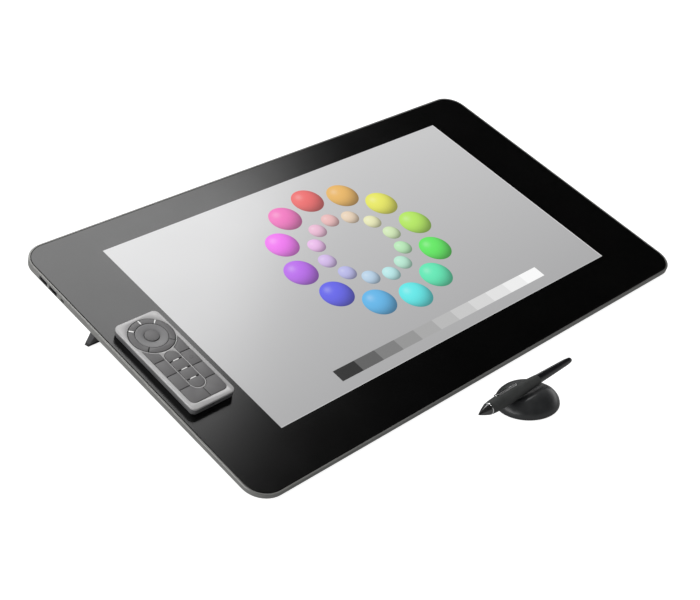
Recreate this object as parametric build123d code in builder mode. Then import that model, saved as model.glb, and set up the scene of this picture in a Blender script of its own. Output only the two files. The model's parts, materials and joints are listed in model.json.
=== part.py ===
from build123d import *
import math
import os

# Pen display on its fold-out legs, with a key remote on the glass and a pen in its stand.
# Row frame: Z up, floor at Z = 0, front of the tablet towards -Y, millimetres.

# ---- driving dimensions ----
BODY_W = 677.0  # across the whole tablet
BODY_D = 394.0  # front to back, along the glass
BODY_R = 26.0  # outer corner radius
TILT = 20.0  # glass slope on the open legs, degrees
WEDGE = 5.0  # slope of the back housing against the glass, degrees
RIM_WALL = 2.2  # visible width of the metal rim
RIM_REAR_H = 8.0  # height of the metal rim at the rear, where the sockets are
RIM_FRONT_H = 5.0  # and at the front
GLASS_GAP = 0.4
GLASS_T = 1.8
SLAB_T = 12.0  # thickness of the thin outer part
BEVEL = 14.0  # width of the bevel under the edge
EDGE_CLEAR = 9.5  # glass top down to the floor line, at the front edge
ACTIVE_Y = 9.5  # the 522.4 x 293.9 picture sits this far behind the body centre
BACK_DEPTH = 28.1  # glass top to the back housing, at the body centre
WALL = 2.4  # plastic wall of the rear cover

# ---- planes and small helpers ----
TILT_SIN = math.sin(math.radians(TILT))
TILT_COS = math.cos(math.radians(TILT))
STAND_R = 33.5
STAND_AHEAD = 246.5  # stand centre in front of the body centre, on the floor
REAR_REACH = 195.95  # rearmost point of a leg foot behind the body centre, on the floor
DECK_Y = (STAND_AHEAD + STAND_R - REAR_REACH) / 2
DECK_Z = BODY_D / 2 * TILT_SIN + EDGE_CLEAR * TILT_COS


def leaning(origin, degrees):
    """A plane with X across the tablet and its normal leaning to the front."""
    lean = math.radians(degrees)
    return Plane(origin=origin, x_dir=(1, 0, 0), z_dir=(0, -math.sin(lean), math.cos(lean)))


deck = leaning((0, DECK_Y, DECK_Z), TILT)  # glass top, origin at the body centre
back = leaning(deck.from_local_coords(Vector(0, 0, -BACK_DEPTH)), TILT - WEDGE)  # back housing
UP = Axis(deck.origin, deck.z_dir)
SIDE_X = Vector(1, 0, 0)
RIM_SLOPE = math.degrees(math.atan((RIM_REAR_H - RIM_FRONT_H) / BODY_D))
rim_middle = deck.from_local_coords(Vector(0, 0, -(RIM_REAR_H + RIM_FRONT_H) / 2))
rim_bottom = leaning(rim_middle, TILT - RIM_SLOPE)  # where the rim meets the rear cover


def on_deck(x, y, z):
    """A point given from the glass centre, in the row frame."""
    return deck.from_local_coords(Vector(x, y, z))


def on_back(x, y, depth):
    """A point given on the back housing, depth counted into the body."""
    return back.from_local_coords(Vector(x, y, depth))


def finish(builder, name):
    """Labels a finished piece and writes its STEP file."""
    builder.part.label = name
    export_step(builder.part, f"parts/{name}.step")


os.makedirs("parts", exist_ok=True)

# ---- cover glass, gasket and picture stack ----
GLASS_W = BODY_W - 2 * (RIM_WALL + GLASS_GAP)
GLASS_D = BODY_D - 2 * (RIM_WALL + GLASS_GAP)
GLASS_R = BODY_R - RIM_WALL - GLASS_GAP
LEDGE_Z = 2.6  # ledge that carries the glass, below the glass top
OPENING_W = 600.0
OPENING_D = 340.0
PANEL_W = 534.0
PANEL_D = 306.0

with BuildPart() as cover_glass:
    with BuildSketch(deck):
        RectangleRounded(GLASS_W, GLASS_D, GLASS_R)
    extrude(amount=-GLASS_T)
    chamfer(cover_glass.faces().sort_by(UP)[-1].edges(), 0.25)
finish(cover_glass, "cover_glass")


def panel_layer(name, top, thickness, shrink):
    """One flat layer of the picture stack."""
    with BuildPart() as layer:
        with BuildSketch(deck.offset(-top)):
            with Locations((0, ACTIVE_Y)):
                Rectangle(PANEL_W - shrink, PANEL_D - shrink)
        extrude(amount=-thickness)
    finish(layer, name)


panel_layer("lcd_panel", GLASS_T, 1.3, 2.0)
panel_layer("backlight_unit", GLASS_T + 1.3, 3.6, 0.0)
panel_layer("sensor_board", GLASS_T + 5.0, 0.8, 6.0)

# ---- side rim with the socket openings ----
SIDE_Z = -4.5  # height of the socket centres on the rim wall
USB_MOUTH = (13.2, 4.7)
USB_BODY = (14.6, 5.3)
USB_DEPTH = 17.0
LEFT_USB_Y = (151.0, 133.5)
LOCK_SLOT_Y = 116.8
RIGHT_USB_Y = (120.0, 137.5)
CARD_Y = 92.0
CARD_MOUTH = (25.0, 2.8)
CARD_BODY = (28.0, 4.4)
AUDIO_Y = 68.0
AUDIO_R = 1.8
AUDIO_BODY = (7.0, 4.8)
BUTTON_X = 240.0
BUTTON_SIZE = (16.0, 3.6)
SOCKET_SETBACK = 0.6  # sockets sit this far inside the rim's face

left_side = Plane(origin=on_deck(-BODY_W / 2, 0, 0), x_dir=-deck.y_dir, z_dir=(-1, 0, 0))
right_side = Plane(origin=on_deck(BODY_W / 2, 0, 0), x_dir=deck.y_dir, z_dir=(1, 0, 0))
rear_side = Plane(origin=on_deck(0, BODY_D / 2, 0), x_dir=(-1, 0, 0), z_dir=deck.y_dir)

with BuildPart() as side_rim:
    with BuildSketch(deck):
        RectangleRounded(BODY_W, BODY_D, BODY_R)
        RectangleRounded(BODY_W - 2 * RIM_WALL, BODY_D - 2 * RIM_WALL, BODY_R - RIM_WALL,
                         mode=Mode.SUBTRACT)
    extrude(amount=-RIM_REAR_H)
    chamfer(side_rim.faces().sort_by(UP)[-1].edges(), 0.45)
    with BuildSketch(deck.offset(-LEDGE_Z)):
        RectangleRounded(BODY_W - 2, BODY_D - 2, BODY_R - 1)
        RectangleRounded(OPENING_W, OPENING_D, 6, mode=Mode.SUBTRACT)
    extrude(amount=-2.4)
    with BuildSketch(deck.offset(-LEDGE_Z)):
        RectangleRounded(OPENING_W + 6, OPENING_D + 6, 9)
        RectangleRounded(OPENING_W, OPENING_D, 6, mode=Mode.SUBTRACT)
    extrude(amount=-(RIM_REAR_H - LEDGE_Z))
    split(bisect_by=rim_bottom, keep=Keep.TOP)
    with BuildSketch(left_side):
        with Locations(*[(-y, SIDE_Z) for y in LEFT_USB_Y]):
            RectangleRounded(USB_MOUTH[0] + 0.6, USB_MOUTH[1] + 0.6, 1.0)
        with Locations((-LOCK_SLOT_Y, SIDE_Z)):
            SlotOverall(6.0, 3.0)
    extrude(amount=-8, mode=Mode.SUBTRACT)
    with BuildSketch(left_side.offset(-RIM_WALL)):
        with Locations(*[(-y, SIDE_Z) for y in LEFT_USB_Y]):
            Rectangle(USB_BODY[0] + 0.4, USB_BODY[1] + 0.4)
    extrude(amount=-(USB_DEPTH + 1), mode=Mode.SUBTRACT)
    with BuildSketch(right_side):
        with Locations(*[(y, SIDE_Z) for y in RIGHT_USB_Y]):
            RectangleRounded(USB_MOUTH[0] + 0.6, USB_MOUTH[1] + 0.6, 1.0)
        with Locations((CARD_Y, SIDE_Z)):
            RectangleRounded(CARD_MOUTH[0] + 0.6, CARD_MOUTH[1] + 0.6, 0.8)
        with Locations((AUDIO_Y, SIDE_Z)):
            Circle(AUDIO_R + 0.5)
    extrude(amount=-8, mode=Mode.SUBTRACT)
    with BuildSketch(right_side.offset(-RIM_WALL)):
        with Locations(*[(y, SIDE_Z) for y in RIGHT_USB_Y]):
            Rectangle(USB_BODY[0] + 0.4, USB_BODY[1] + 0.4)
        with Locations((CARD_Y, SIDE_Z)):
            Rectangle(CARD_BODY[0] + 0.4, CARD_BODY[1] + 0.4)
        with Locations((AUDIO_Y, SIDE_Z)):
            Rectangle(AUDIO_BODY[0] + 0.4, AUDIO_BODY[1] + 0.4)
    extrude(amount=-(USB_DEPTH + 1), mode=Mode.SUBTRACT)
    with BuildSketch(rear_side):
        with Locations((-BUTTON_X, SIDE_Z)):
            SlotOverall(BUTTON_SIZE[0] + 0.5, BUTTON_SIZE[1] + 0.5)
    extrude(amount=-12, mode=Mode.SUBTRACT)
finish(side_rim, "side_rim")


with BuildPart() as display_gasket:
    with BuildSketch(deck.offset(-GLASS_T)):
        RectangleRounded(GLASS_W - 2, GLASS_D - 2, GLASS_R - 1)
        RectangleRounded(GLASS_W - 18, GLASS_D - 18, GLASS_R - 9, mode=Mode.SUBTRACT)
    extrude(amount=-(LEDGE_Z - GLASS_T))
    with BuildSketch(left_side):
        with Locations(*[(-y, SIDE_Z) for y in LEFT_USB_Y]):
            Rectangle(USB_BODY[0] + 0.4, USB_BODY[1] + 0.4)
    extrude(amount=-(USB_DEPTH + 4), mode=Mode.SUBTRACT)
    with BuildSketch(right_side):
        with Locations(*[(y, SIDE_Z) for y in RIGHT_USB_Y]):
            Rectangle(USB_BODY[0] + 0.4, USB_BODY[1] + 0.4)
        with Locations((CARD_Y, SIDE_Z)):
            Rectangle(CARD_BODY[0] + 0.4, CARD_BODY[1] + 0.4)
        with Locations((AUDIO_Y, SIDE_Z)):
            Rectangle(AUDIO_BODY[0] + 0.4, AUDIO_BODY[1] + 0.4)
    extrude(amount=-(USB_DEPTH + 4), mode=Mode.SUBTRACT)
finish(display_gasket, "display_gasket")


def usb_socket(plane, along):
    """Metal socket shell with its tongue, mouth at the plane; made as a loose solid."""
    with BuildPart() as socket:
        with BuildSketch(plane.offset(-RIM_WALL - 0.1)):
            with Locations((along, SIDE_Z)):
                Rectangle(*USB_BODY)
        extrude(amount=-USB_DEPTH)
        with BuildSketch(plane.offset(-SOCKET_SETBACK)):
            with Locations((along, SIDE_Z)):
                RectangleRounded(*USB_MOUTH, 0.8)
        extrude(amount=-(RIM_WALL + 1))
        with BuildSketch(plane):
            with Locations((along, SIDE_Z)):
                Rectangle(USB_MOUTH[0] - 0.9, USB_MOUTH[1] - 0.9)
        extrude(amount=-14, mode=Mode.SUBTRACT)
        with BuildSketch(plane.offset(-SOCKET_SETBACK - 0.8)):
            with Locations((along, SIDE_Z + 0.9)):
                Rectangle(USB_MOUTH[0] - 2.6, 1.7)
        extrude(amount=-13)
    return socket.part


left_usb = [usb_socket(left_side, -y) for y in LEFT_USB_Y]
right_usb = [usb_socket(right_side, y) for y in RIGHT_USB_Y]

with BuildPart() as left_sockets:
    add(left_usb)
finish(left_sockets, "left_sockets")

with BuildPart() as right_sockets:
    add(right_usb)
    with BuildSketch(right_side.offset(-RIM_WALL - 0.1)):
        with Locations((CARD_Y, SIDE_Z)):
            Rectangle(*CARD_BODY)
        with Locations((AUDIO_Y, SIDE_Z)):
            Rectangle(*AUDIO_BODY)
    extrude(amount=-USB_DEPTH)
    with BuildSketch(right_side.offset(-SOCKET_SETBACK)):
        with Locations((CARD_Y, SIDE_Z)):
            RectangleRounded(*CARD_MOUTH, 0.6)
        with Locations((AUDIO_Y, SIDE_Z)):
            Circle(AUDIO_R + 0.3)
    extrude(amount=-(RIM_WALL + 1))
    with BuildSketch(right_side):
        with Locations((CARD_Y, SIDE_Z)):
            Rectangle(CARD_MOUTH[0] - 1.0, CARD_MOUTH[1] - 0.7)
        with Locations((AUDIO_Y, SIDE_Z)):
            Circle(AUDIO_R)
    extrude(amount=-14, mode=Mode.SUBTRACT)
finish(right_sockets, "right_sockets")

with BuildPart() as power_button:
    with BuildSketch(rear_side):
        with Locations((-BUTTON_X, SIDE_Z)):
            SlotOverall(*BUTTON_SIZE)
    extrude(amount=-7.0)
    chamfer(power_button.faces().sort_by(Axis(rear_side.origin, rear_side.z_dir))[-1].edges(), 0.3)
finish(power_button, "power_button")

# ---- rear cover: bevelled slab, sloping housing, pockets and vents ----
HUMP_W = 566.0
HUMP_FRONT = -162.0
HUMP_REAR = 168.0
HUMP_DRAFT = 12.0  # degrees, sides growing towards the glass
TRAY_OPENING = (584.0, 342.0)  # the housing's flange sits in the tray's opening
TRAY_OPENING_Y = 6.0
TRAY_OPENING_R = 6.0
TRAY_SEAM = 0.15
RECESS_DEPTH = 13.0
LEG_W = 42.0
LEG_OUTER_X = 269.0
LEG_MID_X = LEG_OUTER_X - LEG_W / 2
RECESS_W = LEG_W + 9.0
HINGE_Y = 120.0
HINGE_DEPTH = 6.5
RECESS_REAR = HINGE_Y + 10.5
RECESS_FRONT = HINGE_Y - 118.0
NOTCH = (150.0, 50.0, 16.0)  # socket notch in the rear edge: across, front to back, depth
NOTCH_X = -90.0
NOTCH_FRONT = 124.0
BAY_X = -120.0
BAY_Y = -20.0
BAY_OPENING = (104.0, 124.0)
BAY_COVER = (120.0, 140.0)
BAY_COVER_T = 1.8
VESA = 100.0
INSERT_R = 3.4
INSERT_HOLE_R = 2.0
INSERT_LENGTH = 8.0
FAN_X = 110.0
FAN_Y = 96.0
FAN_R = 30.0
SCREW_HEAD_R = 2.7
SCREW_HEAD_H = 1.5
SCREW_R = 1.4
COVER_SCREWS = [(-200.0, -140.0), (0.0, -140.0), (200.0, -140.0), (-200.0, 118.0), (200.0, 118.0)]
BAY_SCREWS = [(BAY_X + dx, BAY_Y + dy) for dx in (-56.0, 56.0) for dy in (-66.0, 66.0)]
INSERTS = [(dx, dy) for dx in (-VESA / 2, VESA / 2) for dy in (-VESA / 2, VESA / 2)]
HUMP_MID_Y = (HUMP_FRONT + HUMP_REAR) / 2
HUMP_D = HUMP_REAR - HUMP_FRONT


def wedge(inset, depth, top):
    """Housing block on the back plane, inset all round, cut off level below the glass."""
    with BuildPart() as block:
        with BuildSketch(back.offset(depth)):
            with Locations((0, HUMP_MID_Y)):
                RectangleRounded(HUMP_W - 2 * inset, HUMP_D - 2 * inset, 14 - inset)
        extrude(amount=60, taper=-HUMP_DRAFT)
        split(bisect_by=deck.offset(-top), keep=Keep.BOTTOM)
    return block.part


def slab(inset_top, inset_bottom, bottom):
    """Thin outer part of the rear cover, bevelled towards its underside."""
    with BuildPart() as plate:
        with BuildSketch(rim_bottom):
            RectangleRounded(BODY_W - 2 * inset_top, BODY_D - 2 * inset_top, BODY_R - inset_top)
        with BuildSketch(deck.offset(-bottom)):
            RectangleRounded(BODY_W - 2 * inset_bottom, BODY_D - 2 * inset_bottom,
                             BODY_R - inset_bottom)
        loft(ruled=True)
    return plate.part


def tray_opening(grow):
    """Block through the slab that parts the housing from the tray round it."""
    with BuildPart() as block:
        with BuildSketch(deck.offset(-SLAB_T - 1)):
            with Locations((0, TRAY_OPENING_Y)):
                RectangleRounded(TRAY_OPENING[0] + 2 * grow, TRAY_OPENING[1] + 2 * grow,
                                  TRAY_OPENING_R)
        extrude(amount=SLAB_T)
    return block.part


hump_outside = wedge(0.0, 0.0, SLAB_T - 1.5)
hump_inside = wedge(WALL, WALL, SLAB_T - 2.6)
slab_outside = slab(0.0, BEVEL, SLAB_T)
slab_inside = slab(8.4, 14.0, SLAB_T - 2.2)

with BuildPart() as hollow:
    add(hump_inside)
    with BuildSketch(back):
        with Locations((-LEG_MID_X, (RECESS_REAR + RECESS_FRONT) / 2),
                       (LEG_MID_X, (RECESS_REAR + RECESS_FRONT) / 2)):
            Rectangle(RECESS_W + 2 * WALL, RECESS_REAR - RECESS_FRONT + 2 * WALL)
    extrude(amount=RECESS_DEPTH + WALL, mode=Mode.SUBTRACT)
    with BuildSketch(back):
        with Locations((NOTCH_X, NOTCH_FRONT + 50)):
            Rectangle(NOTCH[0] + 2 * WALL, 100 + 2 * WALL)
    extrude(amount=NOTCH[2] + WALL, mode=Mode.SUBTRACT)
    with BuildSketch(back):
        with Locations((BAY_X, BAY_Y)):
            Rectangle(BAY_COVER[0] + 2 * WALL, BAY_COVER[1] + 2 * WALL)
    extrude(amount=BAY_COVER_T + 2.6, mode=Mode.SUBTRACT)
    with BuildSketch(back):
        with Locations(*INSERTS):
            Circle(INSERT_R + 2.6)
        with Locations(*BAY_SCREWS):
            Circle(SCREW_HEAD_R + 1.6)
    extrude(amount=INSERT_LENGTH + 2.4, mode=Mode.SUBTRACT)

with BuildPart() as rear_tray:
    add(slab_outside)
    add(slab_inside, mode=Mode.SUBTRACT)
    add(tray_opening(TRAY_SEAM), mode=Mode.SUBTRACT)
finish(rear_tray, "rear_tray")

with BuildPart() as rear_cover:
    add(slab_outside)
    add(tray_opening(0.0), mode=Mode.INTERSECT)
    add(hump_outside)
    add(slab_inside, mode=Mode.SUBTRACT)
    add(hollow.part, mode=Mode.SUBTRACT)
    with BuildSketch(back.offset(-1)):
        with Locations((-LEG_MID_X, (RECESS_REAR + RECESS_FRONT) / 2),
                       (LEG_MID_X, (RECESS_REAR + RECESS_FRONT) / 2)):
            Rectangle(RECESS_W, RECESS_REAR - RECESS_FRONT)
    extrude(amount=RECESS_DEPTH + 1, mode=Mode.SUBTRACT)
    with BuildSketch(back.offset(-1)):
        with Locations((-LEG_MID_X, RECESS_FRONT), (LEG_MID_X, RECESS_FRONT)):
            Circle(12.0)
    extrude(amount=1 + WALL * 0.6, mode=Mode.SUBTRACT)
    with BuildSketch(back.offset(-1)):
        with Locations((NOTCH_X, NOTCH_FRONT + 50)):
            Rectangle(NOTCH[0], 100)
    extrude(amount=NOTCH[2] + 1, mode=Mode.SUBTRACT)
    with BuildSketch(back.offset(-1)):
        with Locations((BAY_X, BAY_Y)):
            RectangleRounded(*BAY_COVER, 4)
    extrude(amount=BAY_COVER_T + 1, mode=Mode.SUBTRACT)
    with BuildSketch(back):
        with Locations((BAY_X, BAY_Y)):
            RectangleRounded(*BAY_OPENING, 3)
    extrude(amount=8, mode=Mode.SUBTRACT)
    with BuildSketch(back):
        with Locations(*BAY_SCREWS):
            Circle(SCREW_R + 0.1)
    extrude(amount=9, mode=Mode.SUBTRACT)
    with BuildSketch(back):
        with Locations(*INSERTS):
            Circle(INSERT_R)
    extrude(amount=INSERT_LENGTH, mode=Mode.SUBTRACT)
    with BuildSketch(back):
        RectangleRounded(136, 136, 8)
        RectangleRounded(134, 134, 7, mode=Mode.SUBTRACT)
    extrude(amount=0.6, mode=Mode.SUBTRACT)
    with BuildSketch(back):
        with Locations(*COVER_SCREWS):
            Circle(SCREW_HEAD_R + 0.2)
    extrude(amount=SCREW_HEAD_H + 0.1, mode=Mode.SUBTRACT)
    with BuildSketch(back):
        with Locations(*COVER_SCREWS):
            Circle(SCREW_R + 0.2)
    extrude(amount=WALL + 0.1, mode=Mode.SUBTRACT)
    with BuildSketch(back):
        with Locations((FAN_X, FAN_Y)):
            with GridLocations(24.0, 5.2, 2, 11):
                SlotOverall(21, 2.6)
        with Locations((130.0, -60.0)):
            with GridLocations(28.0, 6.0, 4, 12):
                SlotOverall(24, 2.6)
    extrude(amount=WALL + 0.5, mode=Mode.SUBTRACT)
finish(rear_cover, "rear_cover")

with BuildPart() as bay_cover:
    with BuildSketch(back.offset(0.1)):
        with Locations((BAY_X, BAY_Y)):
            RectangleRounded(BAY_COVER[0] - 0.6, BAY_COVER[1] - 0.6, 3.7)
        with Locations(*BAY_SCREWS):
            Circle(SCREW_HEAD_R + 0.1, mode=Mode.SUBTRACT)
    extrude(amount=BAY_COVER_T - 0.1)
    with BuildSketch(back.offset(0.1)):
        with Locations((BAY_X, BAY_Y - 56)):
            SlotOverall(30, 6)
    extrude(amount=0.8, mode=Mode.SUBTRACT)
finish(bay_cover, "bay_cover")


def screws_on_back(places, head_depth, length):
    """Flush screws driven into the back, heads outwards, as loose solids."""
    with BuildPart() as screws:
        with BuildSketch(back.offset(head_depth)):
            with Locations(*places):
                Circle(SCREW_HEAD_R)
        extrude(amount=SCREW_HEAD_H - 0.1)
        with BuildSketch(back.offset(head_depth)):
            with Locations(*places):
                Circle(SCREW_R)
        extrude(amount=length)
        with BuildSketch(back.offset(head_depth)):
            with Locations(*places):
                RegularPolygon(1.3, 6)
        extrude(amount=0.8, mode=Mode.SUBTRACT)
    return screws.part


cover_screws = screws_on_back(COVER_SCREWS, 0.1, 6.0)
bay_screws = screws_on_back(BAY_SCREWS, BAY_COVER_T - SCREW_HEAD_H + 0.05, 7.0)

with BuildPart() as back_screws:
    add(cover_screws)
    add(bay_screws)
finish(back_screws, "back_screws")

with BuildPart() as mount_inserts:
    with BuildSketch(back):
        with Locations(*INSERTS):
            Circle(INSERT_R)
            Circle(INSERT_HOLE_R, mode=Mode.SUBTRACT)
    extrude(amount=INSERT_LENGTH)
finish(mount_inserts, "mount_inserts")

# ---- chassis, boards, fan ----
CHASSIS_W = 644.0
CHASSIS_D = 361.0
CHASSIS_TOP = 8.5
CHASSIS_T = 0.9

with BuildPart() as chassis_frame:
    with BuildSketch(deck.offset(-CHASSIS_TOP)):
        RectangleRounded(CHASSIS_W, CHASSIS_D, 8)
        with Locations((-180, -60), (0, -60), (180, -60)):
            RectangleRounded(120, 70, 8, mode=Mode.SUBTRACT)
    extrude(amount=-CHASSIS_T)
    with BuildSketch(back.offset(2.6)):
        with Locations(*COVER_SCREWS):
            Circle(4.0)
            Circle(SCREW_R + 0.05, mode=Mode.SUBTRACT)
    extrude(until=Until.NEXT)
finish(chassis_frame, "chassis_frame")

BOARD_DEPTH = 11.0
with BuildPart() as main_board:
    with BuildSketch(back.offset(BOARD_DEPTH)):
        with Locations((40, 15)):
            Rectangle(150, 86)
        with Locations((-50, 85)):
            Rectangle(150, 66)
    extrude(amount=1.6)
    with BuildSketch(back.offset(BOARD_DEPTH - 1.5)):
        with Locations((40, 30)):
            Rectangle(24, 24)
        with Locations((80, 0), (0, -5)):
            Rectangle(14, 14)
    extrude(amount=1.5)
finish(main_board, "main_board")

HOUSING_SIZE = 68.0
HOUSING_DEPTH = 3.4
with BuildPart() as fan_housing:
    with BuildSketch(back.offset(HOUSING_DEPTH)):
        with Locations((FAN_X, FAN_Y)):
            RectangleRounded(HOUSING_SIZE, HOUSING_SIZE, 5)
            Circle(FAN_R, mode=Mode.SUBTRACT)
    extrude(amount=10)
    with BuildSketch(back.offset(HOUSING_DEPTH + 8.6)):
        with Locations((FAN_X, FAN_Y)):
            Rectangle(2 * FAN_R + 2, 5)
            Rectangle(5, 2 * FAN_R + 2)
            Circle(7)
    extrude(amount=1.4)
finish(fan_housing, "fan_housing")

with BuildPart() as fan_rotor:
    with BuildSketch(back.offset(HOUSING_DEPTH + 0.8)):
        with Locations((FAN_X, FAN_Y)):
            Circle(12)
    extrude(amount=7.2)
    with BuildSketch(back.offset(HOUSING_DEPTH + 1.4)):
        with Locations((FAN_X, FAN_Y)):
            with PolarLocations(18.5, 9):
                Rectangle(19, 1.3, rotation=28)
    extrude(amount=5.6)
finish(fan_rotor, "fan_rotor")

# ---- rear sockets in their notch, under the lift-off cover ----
notch_wall = Plane(origin=on_back(NOTCH_X, NOTCH_FRONT, NOTCH[2] / 2), x_dir=(-1, 0, 0),
                   z_dir=back.y_dir)
REAR_SOCKETS = [(-52.0, 16.0, 6.2), (-24.0, 18.0, 6.4), (2.0, 9.6, 3.8), (24.0, 9.6, 3.8)]
JACK_X = 52.0
with BuildPart() as rear_sockets:
    for along, width, height in REAR_SOCKETS:
        with BuildSketch(notch_wall.offset(0.1)):
            with Locations((along, 0)):
                RectangleRounded(width, height, 1.4)
                RectangleRounded(width - 1.2, height - 1.2, 0.9, mode=Mode.SUBTRACT)
        extrude(amount=7)
        with BuildSketch(notch_wall.offset(0.1)):
            with Locations((along, 0)):
                Rectangle(width - 0.6, height - 0.6)
                Rectangle(width - 4.0, 1.0)
        extrude(amount=1.2)
    with BuildSketch(notch_wall.offset(0.1)):
        with Locations((JACK_X, 0)):
            Rectangle(12, 11)
            Circle(4.0, mode=Mode.SUBTRACT)
            Circle(1.2)
    extrude(amount=7)
    with BuildSketch(notch_wall.offset(0.1)):
        with Locations((JACK_X, 0)):
            Rectangle(12, 11)
    extrude(amount=1.2)
finish(rear_sockets, "rear_sockets")

COVER_GAP = 0.5
with BuildPart() as port_cover:
    with BuildSketch(back.offset(0.2)):
        with Locations((NOTCH_X, (NOTCH_FRONT + HUMP_REAR) / 2)):
            Rectangle(NOTCH[0] - 2 * COVER_GAP, HUMP_REAR - NOTCH_FRONT - 2 * COVER_GAP)
    extrude(amount=2.0)
    with BuildSketch(back.offset(0.2)):
        with Locations((NOTCH_X, HUMP_REAR - 1.6)):
            Rectangle(NOTCH[0] - 2 * COVER_GAP, 2.0)
        with Locations((NOTCH_X + 30, HUMP_REAR - 1.6)):
            Rectangle(60, 2.2, mode=Mode.SUBTRACT)
    extrude(amount=9.0)
    with BuildSketch(back.offset(0.2)):
        with Locations((NOTCH_X, NOTCH_FRONT + 8)):
            SlotOverall(34, 7)
    extrude(amount=0.9, mode=Mode.SUBTRACT)
finish(port_cover, "port_cover")

# ---- rubber feet ----
FRONT_FOOT_Y = (-183.0, -171.0)
FRONT_FOOT_H = 4.0
with BuildPart() as rubber_feet:
    with BuildSketch(deck.offset(-SLAB_T)):
        with Locations(*[(x, sum(FRONT_FOOT_Y) / 2) for x in (-190.0, 190.0)]):
            RectangleRounded(90, FRONT_FOOT_Y[1] - FRONT_FOOT_Y[0], 3)
    extrude(amount=-FRONT_FOOT_H)
    split(bisect_by=Plane.XY, keep=Keep.TOP)
    with BuildSketch(back):
        with Locations((-230.0, 152.0), (230.0, 152.0)):
            RectangleRounded(60, 12, 3)
    extrude(amount=-3.0)
finish(rubber_feet, "rubber_feet")

# ---- legs, pins and brackets ----
LEG_LEAN = 18.0  # open leg, leaning rearwards from the glass normal
LEG_LENGTH = 125.0  # before it is cut level with the floor
PAD_H = 4.5  # height of the rubber foot above the floor
PIN_R = 2.5
BARREL_R = 5.4
hinge = on_back(0, HINGE_Y, HINGE_DEPTH)
LEG_WORLD_LEAN = math.radians(LEG_LEAN + TILT)
leg_down = Vector(0, math.sin(LEG_WORLD_LEAN), -math.cos(LEG_WORLD_LEAN))


def leg_profile(plane):
    """Side view of a leg: barrel at the hinge, then a long wedge."""
    with BuildSketch(plane) as profile:
        Circle(BARREL_R)
        with BuildLine():
            Polyline((0, -5.2), (70, -4.6), (LEG_LENGTH, -2.2), (LEG_LENGTH, 2.8), (70, 4.4),
                     (0, 5.2), close=True)
        make_face()
        Circle(PIN_R + 0.06, mode=Mode.SUBTRACT)
    return profile.sketch


for side, sign in (("left", -1), ("right", 1)):
    start_x = sign * LEG_MID_X - LEG_W / 2
    leg_plane = Plane(origin=hinge + SIDE_X * start_x, x_dir=leg_down, z_dir=(1, 0, 0))
    blade = extrude(leg_profile(leg_plane), amount=LEG_W)
    with BuildPart() as leg:
        add(blade)
        split(bisect_by=Plane.XY.offset(PAD_H), keep=Keep.TOP)
        front_face = Plane(origin=hinge + SIDE_X * (start_x + LEG_W / 2), x_dir=leg_down,
                           z_dir=leg_plane.y_dir)
        with BuildSketch(front_face.offset(6)):
            with Locations((52, -9.5), (52, 9.5)):
                RectangleRounded(62, 13, 3)
        extrude(amount=-3.4, mode=Mode.SUBTRACT)
    finish(leg, f"leg_{side}")
    with BuildPart() as foot:
        add(blade)
        split(bisect_by=Plane.XY.offset(PAD_H), keep=Keep.BOTTOM)
        split(bisect_by=Plane.XY, keep=Keep.TOP)
    finish(foot, f"leg_foot_{side}")

BRACKET_T = 2.6
BRACKET_GAP = 0.5
with BuildPart() as leg_brackets:
    for sign in (-1, 1):
        for edge in (-1, 1):
            inner = sign * LEG_MID_X + edge * (LEG_W / 2 + BRACKET_GAP)
            cheek = Plane(origin=hinge + SIDE_X * inner, x_dir=back.y_dir, z_dir=(1, 0, 0))
            with BuildSketch(cheek):
                Circle(BARREL_R)
                with Locations((0, (RECESS_DEPTH - HINGE_DEPTH) / 2)):
                    Rectangle(2 * BARREL_R, RECESS_DEPTH - HINGE_DEPTH)
                Circle(PIN_R + 0.02, mode=Mode.SUBTRACT)
            extrude(amount=edge * BRACKET_T)
finish(leg_brackets, "leg_brackets")

PIN_LENGTH = LEG_W + 2 * (BRACKET_GAP + BRACKET_T) + 1.0
with BuildPart() as leg_hinge_pins:
    for sign in (-1, 1):
        start = hinge + SIDE_X * (sign * LEG_MID_X - PIN_LENGTH / 2)
        with BuildSketch(Plane(origin=start, x_dir=back.y_dir, z_dir=(1, 0, 0))):
            Circle(PIN_R)
        extrude(amount=PIN_LENGTH)
finish(leg_hinge_pins, "leg_hinge_pins")

# ---- key remote, lying on the left border of the glass ----
REMOTE_X = -300.0
REMOTE_Y = -16.3
REMOTE_W = 53.2
REMOTE_L = 130.5
REMOTE_R = 6.5
SHELL_H = 6.9
FRAME_T = 2.5
KEY_TOP = 9.8
KEY_BOTTOM = 6.2
RING_Y = 36.4
RING_R = 23.9
TOUCH_R = 17.0
CENTER_KEY_R = 7.5
KEY_GAP = 0.4
COLUMN_IN = 9.5
COLUMN_OUT = 21.8
KEYS_BOTTOM = -58.1
ARC_R = 25.9  # the side keys' tops follow this circle round the ring
ROWS = (3.0, -17.2, -37.3)
PILL_HALF = 7.5
PILL_TOP = 10.2
PILL_BOTTOM = -43.6
PILL_RIM = 1.7
PILL_CUTS = (-2.8, -16.5, -30.4)
PILL_MID = (PILL_TOP + PILL_BOTTOM) / 2
PILL_LENGTH = PILL_TOP - PILL_BOTTOM
SHOULDER_BOTTOM = PILL_TOP - PILL_HALF  # silver shoulders between the ring and the strip keys
SHOULDER_L = 14.0
REMOTE_LIFT = 0.2
pad = Plane(origin=on_deck(REMOTE_X, REMOTE_Y, REMOTE_LIFT), x_dir=(1, 0, 0), z_dir=deck.z_dir)

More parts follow.
